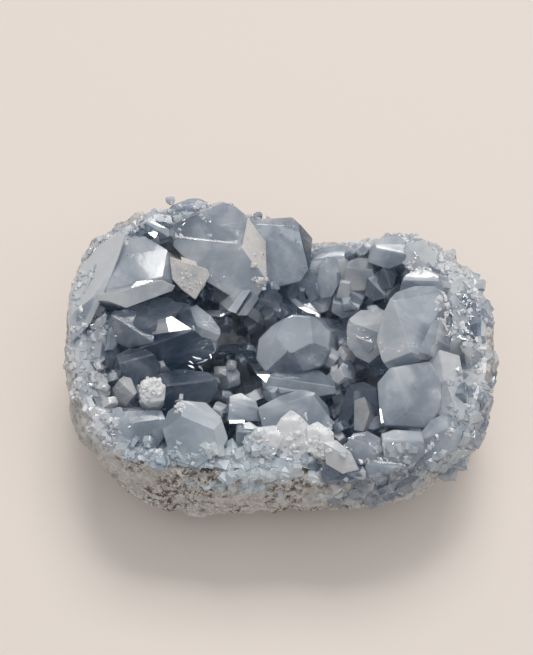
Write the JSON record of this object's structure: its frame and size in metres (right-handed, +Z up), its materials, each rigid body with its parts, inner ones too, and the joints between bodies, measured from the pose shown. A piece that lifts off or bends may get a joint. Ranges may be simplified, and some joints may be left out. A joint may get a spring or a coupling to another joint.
{
  "type": "celestite geode",
  "caption": "Palm-sized mineral specimen: a pale rounded rock rind, open on top, lined with large wedge-ended blue crystals.",
  "frame": {"origin": "centre of the flat patch underneath that the geode rests on", "axes": "+Z up through the open top; +X along the long side, to the viewer's right; +Y away from the viewer, towards the tallest crystals"},
  "size_m": [0.1032, 0.0702, 0.0576],
  "materials": {
    "rind_rock": "rough, pale grey with beige and brown specks",
    "celestite": "clear to milky, glassy faces"
  },
  "bodies": {
    "root": {"rind": "rind_rock", "crystal_crust": "celestite"}
  },
  "joints": []
}
